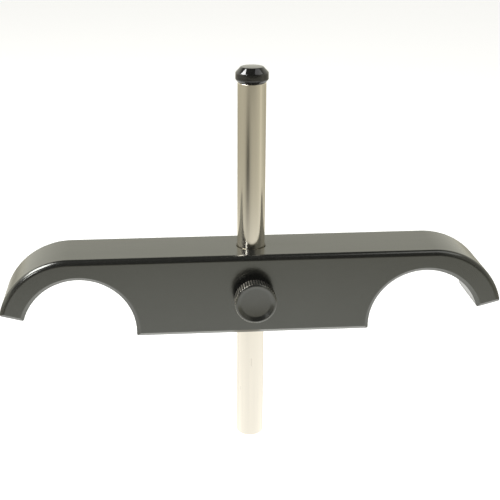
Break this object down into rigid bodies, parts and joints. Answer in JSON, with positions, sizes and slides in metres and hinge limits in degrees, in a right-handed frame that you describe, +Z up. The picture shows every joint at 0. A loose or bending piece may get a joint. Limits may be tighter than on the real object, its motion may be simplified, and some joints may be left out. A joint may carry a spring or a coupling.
{
  "type": "lens support",
  "caption": "Bridge bar with a half-round saddle under each end, and a height-adjustable support rod clamped through its middle by a knurled thumbscrew.",
  "frame": {"origin": "where the support rod's axis crosses the line between the two saddles' centres, at the middle of the bar's depth", "axes": "+X along the bar, +Y away from the thumbscrew, +Z up the rod to the lens"},
  "size_m": [0.1508, 0.027, 0.1177],
  "materials": {
    "bar_anodised": "satin black anodised",
    "rod_steel": "ground and polished",
    "cap_plastic": "glossy black",
    "screw_anodised": "satin black anodised",
    "stud_steel": "plain machined",
    "pad_brass": "plain turned"
  },
  "bodies": {
    "bar": {"bridge_bar": "bar_anodised"},
    "rod": {"support_rod": "rod_steel", "rod_cap": "cap_plastic"},
    "pad": {"clamp_pad": "pad_brass"},
    "thumbscrew": {"thumbscrew_head": "screw_anodised", "thumbscrew_stud": "stud_steel"}
  },
  "joints": [
    {"name": "rod_slide", "type": "slide", "parent": "bar", "child": "rod", "axis": [0, 0, 1], "range_m": [-0.0495, 0.0389]},
    {"name": "pad_travel", "type": "slide", "parent": "bar", "child": "pad", "axis": [0, -1, 0], "range_m": [0, 0.0016]},
    {"name": "thumbscrew_turn", "type": "hinge", "parent": "pad", "child": "thumbscrew", "pos_m": [0, 0, 0.01105], "axis": [0, -1, 0], "range_deg": [0, 720]}
  ],
  "couplings": [
    {"joint": "thumbscrew_turn", "follows": "pad_travel", "rad_per_m": 7854}
  ]
}
